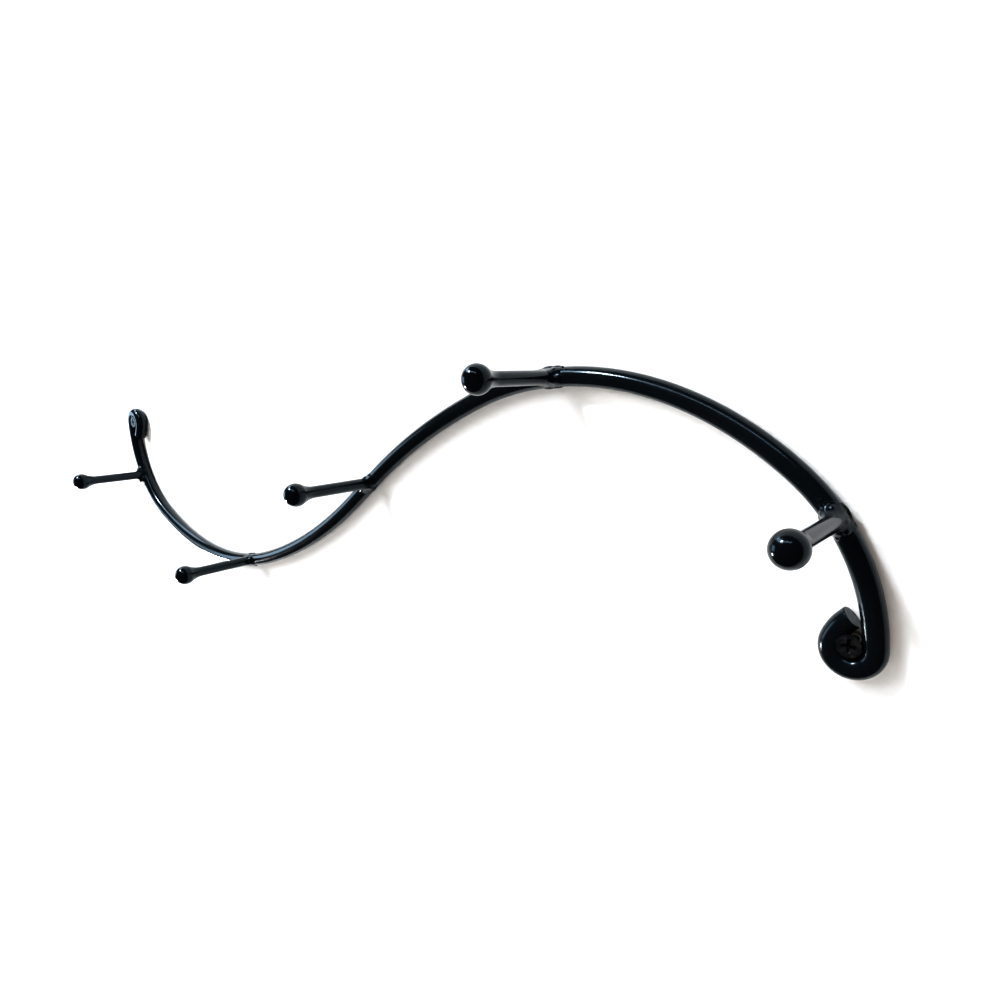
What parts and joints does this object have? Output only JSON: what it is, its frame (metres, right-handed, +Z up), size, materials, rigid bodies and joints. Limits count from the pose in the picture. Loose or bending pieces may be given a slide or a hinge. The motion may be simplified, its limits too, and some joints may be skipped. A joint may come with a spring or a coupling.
{
  "type": "wall hook rail",
  "caption": "Wave-shaped wall rail: a bent round bar with a screw through the eye at each end, and ball-ended pegs standing square off it for mugs.",
  "frame": {"origin": "middle of the bar's straight stretch, on the wall's face", "axes": "+X along the wall to the viewer's right, +Y into the wall, +Z up"},
  "size_m": [0.5686, 0.0899, 0.1307],
  "materials": {
    "bar_enamel": "gloss black enamel",
    "ball_enamel": "high-gloss black enamel",
    "weld_enamel": "black enamel over a rough weld",
    "screw_black": "satin black phosphate",
    "plug_nylon": "matt grey nylon"
  },
  "bodies": {
    "root": {"wave_bar": "bar_enamel", "peg_1": "bar_enamel", "peg_2": "bar_enamel", "peg_3": "bar_enamel", "peg_4": "bar_enamel", "peg_5": "bar_enamel", "ball_1": "ball_enamel", "ball_2": "ball_enamel", "ball_3": "ball_enamel", "ball_4": "ball_enamel", "ball_5": "ball_enamel", "neck_weld_1": "bar_enamel", "neck_weld_2": "bar_enamel", "neck_weld_3": "bar_enamel", "neck_weld_4": "bar_enamel", "neck_weld_5": "bar_enamel", "root_weld_1": "weld_enamel", "root_weld_2": "weld_enamel", "root_weld_3": "weld_enamel", "root_weld_4": "weld_enamel", "root_weld_5": "weld_enamel", "screw_left": "screw_black", "screw_right": "screw_black", "wall_plug_left": "plug_nylon", "wall_plug_right": "plug_nylon"}
  },
  "joints": []
}
